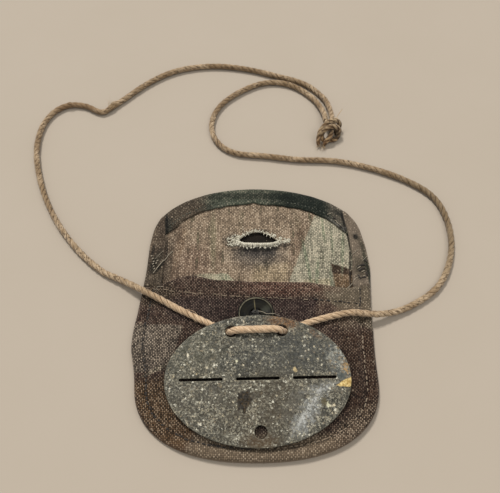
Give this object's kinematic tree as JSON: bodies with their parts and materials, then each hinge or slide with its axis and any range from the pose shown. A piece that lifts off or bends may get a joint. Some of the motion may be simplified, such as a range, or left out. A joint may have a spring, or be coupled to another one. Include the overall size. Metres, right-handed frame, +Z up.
{
  "type": "identification dog tag with cloth pouch",
  "caption": "Oval metal identification disc with a row of break-off slots and a knotted neck cord, lying on its open cloth pouch with a buttoned pocket.",
  "frame": {"origin": "on the surface that the pouch lies on, under the middle of the pouch", "axes": "+X across the pouch, +Y along the pouch towards the tip of its flap, +Z up out of the cloth"},
  "size_m": [0.1915, 0.1987, 0.0109],
  "materials": {
    "disc_metal": "dark corroded zinc alloy, matt",
    "cord": "twisted natural twine",
    "knot": "twisted natural twine",
    "pouch_cloth": "camouflage printed cotton, worn",
    "pocket_cloth": "reddish dark brown cotton twill, worn",
    "buttonhole_thread": "pale sewing thread",
    "button_metal": "dark painted metal with a rubbed rim",
    "button_thread": "dark grey sewing thread"
  },
  "bodies": {
    "root": {"disc": "disc_metal", "neck_cord_left": "cord", "neck_cord_right": "cord", "cord_knot": "knot", "pouch_back": "pouch_cloth", "pocket_front": "pocket_cloth", "buttonhole_stitching": "buttonhole_thread", "button": "button_metal", "button_thread": "button_thread"}
  },
  "joints": []
}
